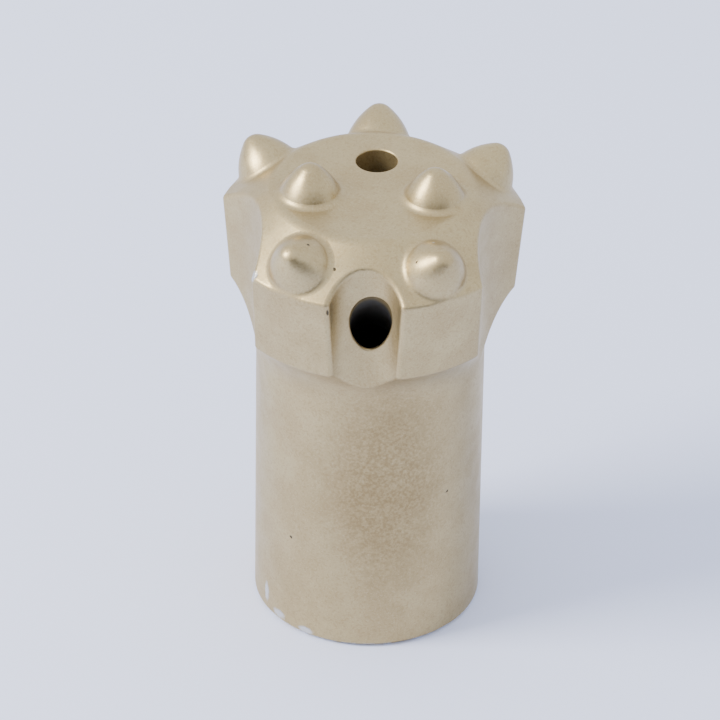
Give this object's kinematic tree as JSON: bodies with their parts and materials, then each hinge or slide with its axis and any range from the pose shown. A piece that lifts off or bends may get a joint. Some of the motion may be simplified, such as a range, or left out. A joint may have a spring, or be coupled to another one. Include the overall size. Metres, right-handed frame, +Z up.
{
  "type": "button drill bit",
  "caption": "Tapered rock button bit: a cylindrical skirt flares to a bevelled head with bullet-shaped buttons, chip flutes, a groove and flush holes.",
  "frame": {"origin": "centre of the skirt's open end, on the plane that the bit stands on", "axes": "+Z up the axis of the bit to its drilling face; -Y to the chip groove with the side flush hole"},
  "size_m": [0.0408, 0.0416, 0.0697],
  "materials": {
    "painted_steel": "satin champagne-gold metallic paint over turned and milled steel",
    "painted_carbide": "the same satin metallic paint over polished cemented carbide"
  },
  "bodies": {
    "root": {"bit_body": "painted_steel", "gauge_button_front_left": "painted_carbide", "gauge_button_front_right": "painted_carbide", "gauge_button_side_left": "painted_carbide", "gauge_button_side_right": "painted_carbide", "gauge_button_back": "painted_carbide", "face_button_left": "painted_carbide", "face_button_right": "painted_carbide"}
  },
  "joints": []
}
